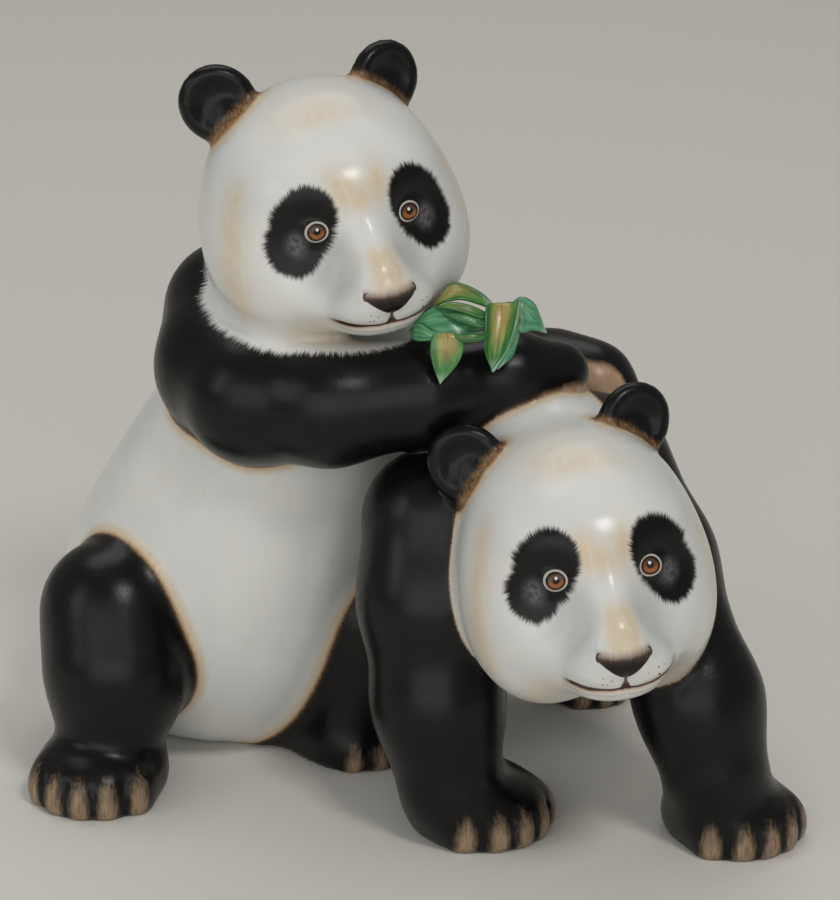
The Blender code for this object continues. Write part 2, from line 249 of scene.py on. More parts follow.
def groups(p):
    """The distance to each named form."""
    g = {}
    for name, joints in LIMBS.items():
        g[name] = chain(p, joints, 5.0 if name == "seated_arm_near" else 10.0)
    for name, paw in PAWS.items():
        (x, y), _, size = paw
        g["paw_" + name] = near(p, (x, y, 8), 62, lambda s, paw=paw, size=size: paw_form(paw_local(s, paw), size))
    g["seated_trunk"] = blend([
        ell(p, (-67.2, 56.1, 42), (54, 48, 47)),
        ell(p, (-63.5, 46.1, 68.3), (47, 46, 46)),
        ell(p, (-48.3, 38.1, 105.9), (42, 40, 44)),
        ell(p, (-32.3, 36.1, 144.1), (34, 33, 36)),
    ], 30)
    g["stand_trunk"] = blend([
        ell(p, (37.9, -9.9, 95), (33, 32, 38)),
        ell(p, (37.9, 28.1, 90), (35, 46, 38)),
        ell(p, (35.9, 70.1, 82), (37, 34, 40)),
    ], 20)
    for who, (c, turn, w, ears, drop, *_) in zip(("seated", "stand"), HEADS):
        g[who + "_head"] = near(p, c, 100, lambda s, c=c, turn=turn, w=w, drop=drop: head_form((s - c) @ turn, w, drop))
        both = None
        for side, ear in zip((-1, 1), ears):
            d = near(p, c + turn @ np.array(ear), 50, lambda s, c=c, turn=turn, side=side, ear=ear: ear_form((s - c) @ turn, side, ear))
            both = d if both is None else np.minimum(both, d)
        g[who + "_ears"] = both
    g["seated_leg_near"] = smin(smin(g.pop("seated_leg_near_a"), g.pop("seated_leg_near_b"), 8), g.pop("paw_seated_near"), 4.5)
    g["seated_leg_far"] = smin(g["seated_leg_far"], g.pop("paw_seated_far"), 6)
    for name, k in (("fore_near", 9), ("fore_far", 12), ("hind_near", 5), ("hind_far", 5)):
        g["stand_" + name] = smin(g["stand_" + name], g.pop("paw_stand_" + name), k)
    return g


JOIN = {
    "stand_neck": 14, "stand_fore_near": 10, "stand_fore_far": 8, "stand_hind_near": 10, "stand_hind_far": 10, "stand_head": 5, "stand_ears": 3,
    "seated_leg_near": 7, "seated_leg_far": 8, "seated_arm_near": 4, "seated_arm_far": 4, "seated_head": 5, "seated_ears": 3,
}


def skin_of(g, p):
    """The distance to the outside of the group, cut off level at the bottom."""
    a, b = g["seated_trunk"], g["stand_trunk"]
    for name, k in JOIN.items():
        if name.startswith("stand"):
            b = smin(b, g[name], k)
        else:
            a = smin(a, g[name], k)
    return smax(smin(a, b, 3), -p[..., 2], 1.0)


def in_parts(form, p, count=60000):
    return np.concatenate([form(c) for c in np.array_split(p, max(1, math.ceil(len(p) / count)))])


def skin(p):
    return in_parts(lambda c: skin_of(groups(c), c), p)


LOW, HIGH = np.array([-134.0, -116.0, -4.0]), np.array([134.0, 114.0, 256.0])


# ---- from distances to a mesh ------------------------------------------------------------------------------------
def surface(step, coarse=6.0):
    """Quads over the zero of skin(), from a narrow band of fine samples round it."""
    shape = np.ceil((HIGH - LOW) / step).astype(int) + 1
    rough = np.ceil((HIGH - LOW) / coarse).astype(int) + 2
    axes = [LOW[i] + coarse * np.arange(rough[i]) for i in range(3)]
    far = skin(np.stack(np.meshgrid(*axes, indexing="ij"), -1).reshape(-1, 3)).reshape(rough)
    pick = [np.clip(np.round(step * np.arange(shape[i]) / coarse).astype(int), 0, rough[i] - 1) for i in range(3)]
    field = far[np.ix_(*pick)].astype(np.float32)
    cells = np.argwhere(np.abs(field) < 7.5)
    field[tuple(cells.T)] = skin(LOW + step * cells)
    grid = vdb.FloatGrid()
    grid.background = 20.0
    grid.copyFromArray(np.ascontiguousarray(field, np.float32))
    points, quads = grid.convertToQuads()
    return LOW + step * np.asarray(points, float), np.asarray(quads, np.int64)


def slopes(v, e=0.35):
    """Outward unit normals and the distance at each point, from four samples round it."""
    corners = np.array([[1, -1, -1], [-1, -1, 1], [-1, 1, -1], [1, 1, 1]], float)
    values = [skin(v + e * k) for k in corners]
    n = sum(val[:, None] * k for val, k in zip(values, corners))
    size = np.linalg.norm(n, axis=1, keepdims=True)
    return n / np.maximum(size, 1e-9), sum(values) / 4.0, size[:, 0] / (4 * e)


def face_places(v):
    """Each point in the axes of the nearer head, with that head's number."""
    local = [(v - c) @ turn for c, turn, *_ in HEADS]
    who = (np.linalg.norm(local[1], axis=1) < np.linalg.norm(local[0], axis=1)).astype(int)
    q = np.where(who[:, None] == 0, local[0], local[1])
    drop = np.array([h[4] for h in HEADS])[who]
    q[:, 2] = np.where(q[:, 2] < 0, q[:, 2] / drop, q[:, 2])
    return q, who


def wants_detail(centres):
    """Quads on the painted part of the faces and on the toes."""
    q, _ = face_places(centres)
    eyes = (np.abs(q[:, 0]) < 23) & (q[:, 2] > -31) & (q[:, 2] < 14) & (q[:, 1] < -24)
    keep = eyes
    for paw in PAWS.values():
        w, l, h = paw[2]
        s = paw_local(centres, paw)
        keep |= (s[:, 1] < -l * 0.45) & (s[:, 1] > -l * 1.25) & (np.abs(s[:, 0]) < w * 1.15) & (s[:, 2] < h * 0.75) & (s[:, 2] > 0.4)
    return keep


points, quads = surface(GRID)
bm = bmesh.new()
body = bpy.data.meshes.new("panda_pair_porcelain")
body.from_pydata(points.tolist(), [], quads.tolist())
bm.from_mesh(body)
bm.faces.ensure_lookup_table()
# VDB winds its quads inwards, so they are turned round when the volume comes out negative
volume = bm.calc_volume(signed=True)
if volume < 0:
    bmesh.ops.reverse_faces(bm, faces=bm.faces[:])
centres = points[quads].mean(1)
chosen = [bm.faces[i] for i in np.nonzero(wants_detail(centres))[0]]
edges = {e for f in chosen for e in f.edges}
bmesh.ops.subdivide_edges(bm, edges=list(edges), cuts=1, use_grid_fill=True)
bmesh.ops.triangulate(bm, faces=[f for f in bm.faces if len(f.verts) > 4])
bm.verts.ensure_lookup_table()
bm.to_mesh(body)
bm.free()

count = len(body.vertices)
v = np.empty(count * 3, np.float32)
body.vertices.foreach_get("co", v)
v = v.reshape(-1, 3).astype(float)
for turn_no in range(2):
    normal, distance, steep = slopes(v)
    v -= normal * np.clip(distance / np.maximum(steep, 0.5), -0.9, 0.9)[:, None]
v[:, 2] = np.where(v[:, 2] < 0.25, 0.0, v[:, 2])


# ---- what is painted where ---------------------------------------------------------------------------------------
YOKE = ((-60, 34, 158, 25), (-36, 62, 166, 19), (-6, 60, 140, 21))
WITHERS = ((8, -6, 112, 20), (34, 10, 122, 13), (60, -2, 121.5, 21))
# black form: width of the warm halo beside it, and how ragged its edge is, in millimetres
BLACK = {
    "seated_ears": (3.4, 1.3), "stand_ears": (3.0, 1.3), "seated_arm_near": (2.8, 1.0), "seated_arm_far": (2.6, 0.9),
    "seated_leg_near": (3.2, 0.8), "seated_leg_far": (3.0, 0.8), "stand_fore_near": (1.6, 2.0), "stand_fore_far": (2.0, 1.3),
    "stand_hind_near": (3.0, 1.2), "stand_hind_far": (3.0, 1.2), "yoke": (2.0, 2.4), "withers": (2.0, 2.2),
}
WHITE = ("seated_trunk", "stand_trunk", "seated_head", "stand_head", "stand_neck")


def painted_groups(p):
    g = groups(p)
    g["yoke"] = chain(p, YOKE, 12.0)
    g["withers"] = chain(p, WITHERS, 12.0)
    return g


def ink_of(g, p):
    """White distance less black distance; the seated panda's neck is white a little way out from its head."""
    collar = g["seated_head"] - 6.0 * np.clip((192.0 - p[:, 2]) / 14.0, 0, 1)
    cheek = g["stand_head"] - 1.5 * np.clip((104.0 - p[:, 2]) / 10.0, 0, 1)
    white = np.min([g[name] for name in WHITE] + [collar, cheek], axis=0)
    black = np.min([g[name] for name in BLACK], axis=0)
    return white - black


def ink_at(p):
    return in_parts(lambda c: ink_of(painted_groups(c), c), p)


side = np.cross(normal, np.where(np.abs(normal[:, 2:]) < 0.9, [[0.0, 0, 1]], [[1.0, 0, 0]]))
side /= np.linalg.norm(side, axis=1, keepdims=True)
over = np.cross(normal, side)
kept = {}
for part in np.array_split(np.arange(count), max(1, math.ceil(count / 60000))):
    g = painted_groups(v[part])
    for name, value in g.items():
        kept.setdefault(name, []).append(value)
kept = {name: np.concatenate(value) for name, value in kept.items()}
ink = ink_of(kept, v)
reach = 0.8
rise = (((ink_at(v + side * reach) - ink) / reach)[:, None] * side + ((ink_at(v + over * reach) - ink) / reach)[:, None] * over)
slope = np.linalg.norm(rise, axis=1)
ink_mm = np.clip(ink / np.clip(slope, 0.22, 2.2), -16, 16)
comb = v - rise / np.maximum(slope, 0.22)[:, None] * np.clip(ink_mm, -7, 7)[:, None]
nearest = np.min([kept[name] for name in BLACK], axis=0)
weights = {name: np.exp(-np.clip(kept[name] - nearest, 0, 60) / 3.0) for name in BLACK}
total = sum(weights.values())
halo = sum(weights[name] * BLACK[name][0] for name in BLACK) / total
ragged = sum(weights[name] * BLACK[name][1] for name in BLACK) / total
# the neck of the seated panda is fringed over its arm
neck = np.clip((16.0 - kept["seated_head"]) / 7.0, 0, 1) * np.clip((9.0 - kept["seated_arm_near"]) / 6.0, 0, 1)
ragged = ragged + neck * 2.6
halo = halo * (1 - 0.85 * neck)
ragged = ragged * (1 - 0.8 * np.clip((8.0 - kept["stand_head"]) / 6.0, 0, 1) * np.clip((6.0 - kept["stand_fore_near"]) / 4.0, 0, 1))

q, who = face_places(v)
heads = np.where(who == 0, kept["seated_head"], kept["stand_head"])
on_head = np.clip((4.0 - heads) / 3.0, 0, 1) * np.clip((-8.0 - q[:, 1]) / 6.0, 0, 1)
eyes = np.array([[h[5], h[6]] for h in HEADS])[who]
hand = (q[:, 0] > 0).astype(int)
own = eyes[np.arange(count), hand]
across = np.where(hand == 1, q[:, 0] - own[:, 0], own[:, 0] - q[:, 0])
eye_at = np.stack([across, q[:, 2] - own[:, 1], 50.0 * (1.0 - np.clip((-14.0 - q[:, 1]) / 6.0, 0, 1) * np.clip((6.0 - heads) / 3.0, 0, 1))], 1)

# the outline of an eye patch: angle from outward over up to inward, and the distance from its middle
PATCH_ANGLE = (-180, -150, -115, -95, -78, -60, -45, -25, 0, 30, 50, 68, 86, 101, 115, 128, 140, 155, 167, 180)
PATCH_REACH = (9.8, 8.9, 9.9, 12.3, 14.1, 14.4, 14.0, 12.4, 10.9, 10.2, 11.3, 12.4, 14.4, 16.0, 16.3, 15.6, 14.2, 12.4, 11.0, 9.8)
patch_z = np.array([h[7] for h in HEADS])[who]
patch_x = np.where(who == 0, 20.0, 19.2)
px, pz = np.abs(q[:, 0]) - patch_x, q[:, 2] - patch_z
angle, out = np.degrees(np.arctan2(pz, px)), np.hypot(px, pz)
edge = np.interp(angle, PATCH_ANGLE, PATCH_REACH)
edge = edge * (1 - np.where(who == 1, 0.13, 0.05) * np.exp(-(((angle - 14) / 20) ** 2)))
patch = np.where(on_head > 0.3, edge - out, -30.0)
patch_foot = np.stack([(np.abs(q[:, 0]) + 200 * np.sign(q[:, 0])) * 0 + px / np.maximum(out, 0.5) * edge + 90 * (1 + hand) + 300 * who, np.zeros(count), pz / np.maximum(out, 0.5) * edge], 1)
take = patch > ink_mm
comb = np.where(take[:, None], patch_foot, comb)
fade = np.clip((patch + 6.0) / 4.0, 0, 1)
ragged = np.where(take, 2.3 * fade + ragged * (1 - fade), ragged)
halo = np.where(take, 0.7 * fade + halo * (1 - fade), halo)
ink_mm = np.maximum(ink_mm, patch)


def spot(x, z, at, wide, tall):
    return np.exp(-(((x - at[0]) / wide) ** 2 + ((z - at[1]) / tall) ** 2))


x, y, z = q.T
front = np.clip((-20.0 - y) / 10.0, 0, 1) * on_head
lift = np.where(who == 0, 3.2, 0.0)
brow = (spot(x, z - lift, (-6.5, 14.0), 5.0, 6.0) + spot(x, z - lift, (6.2, 14.6), 4.0, 5.6) + 0.8 * spot(x, z - lift, (-0.5, 9.5), 6.5, 4.6)) * front
bridge = 1.15 * np.exp(-(((x - 0.6) / (4.2 + 0.13 * np.clip(-z, 0, 14))) ** 4)) * np.clip((0.5 - z) / 5.0, 0, 1) * np.clip((z + 15.5) / 2.0, 0, 1) * front
crown = 0.85 * spot(x, z, (-3.0, 36.0), 15.0, 5.5) * np.clip((14.0 - y) / 10.0, 0, 1) * np.clip((y + 26.0) / 8.0, 0, 1)
round_to_side = np.degrees(np.arctan2(np.abs(x), -(y - 6.0)))
rim = np.exp(-(((round_to_side - 60.0) / 9.0) ** 2)) * np.clip((z + 30) / 8, 0, 1) * np.clip((25 - z) / 10, 0, 1) * np.where(x < 0, 1.0, 0.7)
low = 0.55 * np.clip((-21.0 - z) / 6.0, 0, 1) * np.clip((np.abs(x) - 12.0) / 8.0, 0, 1) * np.clip((30 - np.abs(x)) / 6, 0, 1)
near_head = np.clip((3.5 - heads) / 2.5, 0, 1)
warm = np.clip((brow + bridge + crown + 0.8 * rim + low) * near_head, 0, 1)
# painted shade: a cool grey in the hollows beside the muzzle
shade = (spot(x, z, (-14.0, -9.5), 6.5, 10.5) + 0.6 * spot(x, z, (13.5, -9.0), 4.5, 8.0) + 0.45 * spot(x, z, (-10.0, -1.0), 3.5, 5.0)) * front * near_head
shade = np.clip(shade * np.where(who == 0, 1.0, 0.7), 0, 1)
# soft strokes on the belly, the flank and the nape
belly = np.clip((6.0 - kept["seated_trunk"]) / 5.0, 0, 1) * (1 - near_head)
nape = np.clip((5.0 - kept["stand_neck"]) / 4.0, 0, 1) * (1 - near_head)
strokes = np.clip(belly * 0.8 + nape * 0.9, 0, 1)

# claws: how far inside one, in millimetres, and the tan of the far hand
claw = np.full(count, -9.0)
furrow = np.zeros(count)
for name, paw in PAWS.items():
    w, l, h = paw[2]
    s = paw_local(v, paw)
    m = np.nonzero((np.linalg.norm(s, axis=1) < 1.6 * l))[0]
    for i in range(5):
        t = (i - 2) / 2
        at = (s[m] - np.array([t * w * 0.71, -l * (0.70 - 0.30 * t * t), h * 0.22])) @ turned(yaw=t * 22)
        wide = w * 0.155
        inside = wide * (1.0 - np.hypot(at[:, 0] / wide, np.clip(s[m][:, 2] - h * 0.14, 0, 99) / (h * 0.44)))
        inside = np.where(at[:, 1] < l * 0.04, inside, -9.0)
        claw[m] = np.maximum(claw[m], inside)
# the far hand is tan on its front, under a black upper edge, and the near hand on its lower edge
far_hand = np.clip((4.0 - kept["seated_arm_far"]) / 3.0, 0, 1) * np.clip((v[:, 0] - 44.0) / 12.0, 0, 1)
tan = far_hand * np.clip((-0.50 - normal[:, 1]) / 0.25, 0, 1) * np.clip((normal[:, 0] + 0.75) / 0.3, 0, 1)
root = np.zeros(count)
for who_has in ("seated", "stand"):
    on_ear = np.clip((2.0 - kept[who_has + "_ears"]) / 1.5, 0, 1)
    root = np.maximum(root, on_ear * np.clip((4.6 - kept[who_has + "_head"]) / 5.0, 0, 1) * np.clip(-normal[:, 1] + 0.45, 0, 1))
near_hand = np.clip((3.0 - kept["seated_arm_near"]) / 2.0, 0, 1) * np.clip((v[:, 0] - 22.0) / 22.0, 0, 1)
tan = np.maximum(tan, near_hand * np.clip((149.0 + 0.12 * (v[:, 0] - 30) - v[:, 2]) / 6.0, 0, 1) * 0.8)
# how closed in each point is, for the painted shade in creases
ahead = in_parts(lambda c: skin_of(groups(c), c), v + normal * 3.5) / 3.5
crease_shade = np.clip(1.0 - ahead, 0, 1)

v_m = (v * MM).astype(np.float32)
body.vertices.foreach_set("co", v_m.ravel())
body.update()


def keep_value(mesh, name, values):
    attribute = mesh.attributes.new(name, "FLOAT", "POINT")
    attribute.data.foreach_set("value", np.ascontiguousarray(values, np.float32))


def keep_place(mesh, name, values):
    attribute = mesh.attributes.new(name, "FLOAT_VECTOR", "POINT")
    attribute.data.foreach_set("vector", np.ascontiguousarray(values, np.float32).ravel())


keep_value(body, "ink", ink_mm)
keep_value(body, "halo", halo)
keep_value(body, "ragged", ragged)
keep_value(body, "warm", warm)
keep_value(body, "strokes", strokes)
keep_value(body, "claw", claw)
keep_value(body, "tan", tan)
keep_value(body, "root", root)
keep_value(body, "shade", shade)
keep_value(body, "crease_shade", crease_shade)
keep_place(body, "comb", comb)
keep_value(body, "on_head", np.clip((5.0 - heads) / 3.0, 0, 1))
keep_place(body, "face", q)
keep_place(body, "eye", eye_at)
keep_place(body, "place", v)


# ---- materials ---------------------------------------------------------------------------------------------------
class Paint:
    """A material written as an expression: each call adds a node and returns its output."""

    def __init__(self, name):
        self.material = bpy.data.materials.new(name)
        self.material.use_nodes = True
        self.tree = self.material.node_tree
        self.tree.nodes.clear()
        self.out = self.tree.nodes.new("ShaderNodeOutputMaterial")
        self.shader = self.tree.nodes.new("ShaderNodeBsdfPrincipled")
        self.tree.links.new(self.shader.outputs[0], self.out.inputs[0])

    def put(self, socket, value):
        if isinstance(value, bpy.types.NodeSocket):
            self.tree.links.new(value, socket)
        elif isinstance(value, (tuple, list)) and socket.type == "RGBA" and len(value) == 3:
            socket.default_value = (*value, 1.0)
        else:
            socket.default_value = value

    def math(self, operation, *values, clamp=False):
        node = self.tree.nodes.new("ShaderNodeMath")
        node.operation = operation
        node.use_clamp = clamp
        for socket, value in zip(node.inputs, values):
            self.put(socket, value)
        return node.outputs[0]

    def add(self, a, b):
        return self.math("ADD", a, b)

    def sub(self, a, b):
        return self.math("SUBTRACT", a, b)

    def mul(self, a, b):
        return self.math("MULTIPLY", a, b)

    def least(self, a, b):
        return self.math("MINIMUM", a, b)

    def most(self, a, b):
        return self.math("MAXIMUM", a, b)

    def size(self, a):
        return self.math("ABSOLUTE", a)

    def length(self, a, b):
        return self.math("SQRT", self.add(self.mul(a, a), self.mul(b, b)))

    def step(self, value, start, end, low=0.0, high=1.0):
        """A smooth step from low at start to high at end."""
        node = self.tree.nodes.new("ShaderNodeMapRange")
        node.interpolation_type = "SMOOTHSTEP"
        node.clamp = True
        for socket, given in zip(node.inputs, (value, start, end, low, high)):
            self.put(socket, given)
        return node.outputs[0]

    def mix(self, factor, a, b):
        node = self.tree.nodes.new("ShaderNodeMix")
        node.data_type = "RGBA"
        self.put(node.inputs[0], factor)
        self.put(node.inputs[6], a)
        self.put(node.inputs[7], b)
        return node.outputs[2]

    def value(self, name):
        node = self.tree.nodes.new("ShaderNodeAttribute")
        node.attribute_name = name
        return node.outputs["Fac"]

    def place(self, name):
        node = self.tree.nodes.new("ShaderNodeAttribute")
        node.attribute_name = name
        return node.outputs["Vector"]

    def split(self, vector):
        node = self.tree.nodes.new("ShaderNodeSeparateXYZ")
        self.put(node.inputs[0], vector)
        return node.outputs[0], node.outputs[1], node.outputs[2]

    def join(self, a, b, c):
        node = self.tree.nodes.new("ShaderNodeCombineXYZ")
        for socket, value in zip(node.inputs, (a, b, c)):
            self.put(socket, value)
        return node.outputs[0]

    def scaled(self, vector, by):
        node = self.tree.nodes.new("ShaderNodeVectorMath")
        node.operation = "MULTIPLY"
        self.put(node.inputs[0], vector)
        self.put(node.inputs[1], by)
        return node.outputs[0]

    def noise(self, vector, scale, detail=2.0, rough=0.5):
        node = self.tree.nodes.new("ShaderNodeTexNoise")
        self.put(node.inputs["Vector"], vector)
        node.inputs["Scale"].default_value = scale
        node.inputs["Detail"].default_value = detail
        node.inputs["Roughness"].default_value = rough
        return node.outputs["Fac"]

    def cells(self, vector, scale):
        node = self.tree.nodes.new("ShaderNodeTexVoronoi")
        self.put(node.inputs["Vector"], vector)
        node.inputs["Scale"].default_value = scale
        node.inputs["Randomness"].default_value = 1.0
        return node.outputs["Distance"], node.outputs["Color"]

    def curve(self, value, points):
        """A line through the points, each from 0 to 1 both ways."""
        node = self.tree.nodes.new("ShaderNodeFloatCurve")
        line = node.mapping.curves[0]
        line.points[0].location = points[0]
        line.points[1].location = points[-1]
        for point in points[1:-1]:
            line.points.new(*point)
        node.mapping.update()
        self.put(node.inputs["Value"], value)
        return node.outputs[0]

    def bump(self, height, distance, strength):
        node = self.tree.nodes.new("ShaderNodeBump")
        node.inputs["Strength"].default_value = strength
        node.inputs["Distance"].default_value = distance
        self.put(node.inputs["Height"], height)
        return node.outputs[0]


def glazed_porcelain():
    m = Paint("glazed_porcelain")
    at, ink, halo, ragged = m.place("place"), m.value("ink"), m.value("halo"), m.value("ragged")
    comb, warm, crease_shade = m.place("comb"), m.value("warm"), m.value("crease_shade")

    # single hairs along every edge: noise that changes along the edge only
    hairs = m.noise(comb, 3.9, 3.0, 0.72)
    locks = m.noise(comb, 0.8, 2.0, 0.6)
    spread = m.add(m.mul(m.sub(hairs, 0.5), 2.3), m.mul(m.sub(locks, 0.5), 1.0))
    edge = m.add(ink, m.mul(spread, ragged))
    grain = m.mul(m.sub(m.noise(at, 2.2, 2.0, 0.6), 0.5), 0.6)
    soft = m.add(m.add(0.22, m.mul(halo, 0.09)), m.mul(ragged, 0.28))
    black = m.step(m.add(edge, grain), m.mul(soft, -1.0), soft)

    # white glaze, with soft warm strokes
    wide = m.noise(at, 0.035, 2.0, 0.5)
    white = m.mix(m.step(wide, 0.35, 0.7), (0.700, 0.712, 0.700), (0.760, 0.755, 0.720))
    streak = m.noise(m.scaled(at, (0.34, 0.34, 0.045)), 1.0, 3.0, 0.6)
    streak_fine = m.noise(m.scaled(at, (1.1, 1.1, 0.10)), 1.0, 2.0, 0.6)
    brush = m.add(m.mul(streak, 0.7), m.mul(streak_fine, 0.3))
    white = m.mix(m.mul(m.step(brush, 0.50, 0.70), m.mul(m.value("strokes"), 0.28)), white, (0.660, 0.570, 0.410))
    face_brush = m.noise(m.scaled(m.place("face"), (0.60, 0.30, 0.13)), 1.0, 3.0, 0.6)
    warm_here = m.mul(warm, m.step(face_brush, 0.20, 0.66, 0.50, 1.0))
    # painted shade beside the muzzle, cool grey
    white = m.mix(m.mul(m.value("shade"), 0.70), white, (0.400, 0.415, 0.405))
    white = m.mix(m.mul(warm_here, 0.80), white, (0.670, 0.520, 0.320))
    # the warm halo beside the black
    off = m.math("DIVIDE", m.add(m.mul(ink, -1.0), m.mul(m.sub(locks, 0.5), 1.2)), m.add(halo, 0.05))
    glow = m.mul(m.step(off, 1.9, 0.10), m.step(halo, 0.6, 2.6, 0.0, 0.84))
    white = m.mix(glow, white, (0.620, 0.460, 0.265))
    rust = m.mul(m.step(off, 0.55, -0.05), m.step(halo, 0.9, 3.0, 0.0, 0.66))
    white = m.mix(rust, white, (0.290, 0.140, 0.062))
    # painted shade: the white darker and warmer in creases
    white = m.mix(m.step(crease_shade, 0.42, 0.95, 0.0, 0.55), white, (0.420, 0.310, 0.200))

    # black glaze, browner near its edges and softly clouded
    cloud = m.noise(at, 0.05, 3.0, 0.55)
    dark = m.mix(cloud, (0.0016, 0.0018, 0.0024), (0.0060, 0.0056, 0.0056))
    fleck = m.noise(m.scaled(at, (1.0, 1.0, 0.6)), 1.9, 2.0, 0.7)
    dark = m.mix(m.step(fleck, 0.60, 0.75, 0.0, 0.35), dark, (0.014, 0.014, 0.015))
    dark = m.mix(m.mul(m.step(ink, 2.2, 0.2), m.step(halo, 0.9, 3.0, 0.12, 0.75)), dark, (0.060, 0.028, 0.012))
    # the tan at the root of each ear
    rooted = m.noise(m.scaled(m.place("face"), (1.0, 0.6, 0.35)), 1.1, 3.0, 0.6)
    root = m.mul(m.step(m.add(m.value("root"), m.mul(m.sub(rooted, 0.5), 0.45)), 0.10, 0.85), 0.85)
    dark = m.mix(root, dark, m.mix(m.step(rooted, 0.15, 0.80), (0.200, 0.098, 0.042), (0.450, 0.265, 0.130)))
    # claws and the hand that shows behind
    claw = m.add(m.value("claw"), m.mul(m.sub(m.noise(m.scaled(at, (1.0, 1.0, 0.25)), 0.9, 2.0, 0.5), 0.5), 2.6))
    pale = m.mix(m.noise(m.scaled(at, (1.1, 1.1, 0.12)), 1.0, 2.0, 0.6), (0.060, 0.032, 0.016), (0.560, 0.400, 0.260))
    dark = m.mix(m.step(claw, -1.0, 2.2, 0.0, 0.94), dark, pale)
    tan = m.value("tan")
    tan_at = m.step(m.add(tan, m.mul(m.sub(m.noise(at, 0.12, 3.0, 0.6), 0.5), 0.8)), 0.30, 0.95, 0.0, 0.9)
    dark = m.mix(tan_at, dark, m.mix(m.noise(at, 0.22, 2.0, 0.6), (0.420, 0.235, 0.125), (0.680, 0.480, 0.320)))
    # painted shade: the black darker still in creases
    dark = m.mix(m.step(crease_shade, 0.30, 0.75, 0.0, 0.85), dark, (0.004, 0.0035, 0.0035))
    colour = m.mix(black, white, dark)

    # painted reflection: grey glaze sheen at the lower outside of the patches
    ex, ez, off_face = m.split(m.place("eye"))
    painted_sheen = m.length(m.sub(m.mul(ex, 0.9), 5.6), m.mul(m.add(ez, 3.6), 0.72))
    broken = m.noise(m.place("eye"), 0.55, 3.0, 0.65)
    painted_sheen = m.mul(m.step(m.add(painted_sheen, m.mul(m.sub(broken, 0.5), 2.6)), 4.6, 0.6, 0.0, 0.62), m.step(off_face, 30.0, 10.0))
    colour = m.mix(m.mul(painted_sheen, m.step(ink, 1.0, 3.0)), colour, m.mix(m.step(broken, 0.36, 0.72), (0.070, 0.070, 0.080), (0.270, 0.270, 0.300)))

    # eyes: pale lid line, dark rim, warm iris, pupil and a small painted highlight
    r = m.length(ex, m.mul(ez, 1.06))
    r = m.add(r, off_face)
    lid = m.mul(m.step(r, 3.82, 3.58), m.step(r, 2.98, 3.22))
    # painted shade: the iris darker at its top, under the lid
    iris = m.mix(m.step(ez, -1.3, 1.2), (0.330, 0.110, 0.038), (0.055, 0.038, 0.030))
    iris = m.mix(m.step(m.noise(m.place("eye"), 1.6, 2.0), 0.4, 0.7, 0.0, 0.35), iris, (0.420, 0.170, 0.065))
    inside = m.mix(m.step(r, 2.05, 2.70), iris, (0.016, 0.008, 0.006))
    inside = m.mix(m.step(m.add(m.length(ex, m.sub(ez, 0.25)), off_face), 1.45, 0.85), inside, (0.004, 0.004, 0.004))
    # a small painted highlight on the pupil
    light = m.length(m.add(ex, 0.15), m.sub(ez, 0.95))
    inside = m.mix(m.step(m.add(light, off_face), 0.66, 0.30), inside, (0.85, 0.85, 0.83))
    colour = m.mix(m.step(r, 3.40, 3.15), colour, inside)
    colour = m.mix(m.mul(lid, 0.90), colour, (0.560, 0.515, 0.460))

    # nose
    fx, fy, fz = m.split(m.place("face"))
    ax = m.size(fx)
    hair = m.noise(m.join(fx, 0.0, 7.0), 1.9, 2.0, 0.6)
    top = m.add(m.add(-15.4, m.mul(m.mul(ax, ax), 0.014)), m.mul(m.sub(hair, 0.5), 1.6))
    taper = m.math("POWER", m.most(m.math("DIVIDE", m.add(fz, 22.1), 6.2), 0.001), 0.66)
    half = m.mul(m.least(taper, 1.0), 8.6)
    pad_side = m.mul(m.step(m.sub(half, ax), -0.25, 0.35), m.step(fz, -22.5, -21.7))
    pad_top = m.step(m.sub(top, fz), -0.5, 1.3)
    forward = m.mul(m.step(fy, -38.0, -42.0), m.step(m.value("on_head"), 0.3, 0.7))
    pad = m.mul(m.mul(pad_side, pad_top), forward)
    nose_black = m.mix(m.step(fz, -18.6, -15.4), (0.010, 0.008, 0.008), (0.060, 0.038, 0.027))
    colour = m.mix(m.mul(m.step(m.sub(m.add(top, 1.2), fz), -1.2, 1.4, 0.0, 0.72), m.mul(pad_side, forward)), colour, (0.230, 0.125, 0.065))
    colour = m.mix(pad, colour, nose_black)
    wing = m.size(m.sub(m.length(m.sub(ax, 6.9), m.add(fz, 15.4)), 1.75))
    wing_part = m.mul(m.step(ax, 6.9, 7.7), m.mul(m.step(fz, -16.8, -16.0), m.step(fz, -13.4, -14.1)))
    colour = m.mix(m.mul(m.mul(m.step(wing, 0.40, 0.12), wing_part), forward), colour, (0.070, 0.040, 0.024))
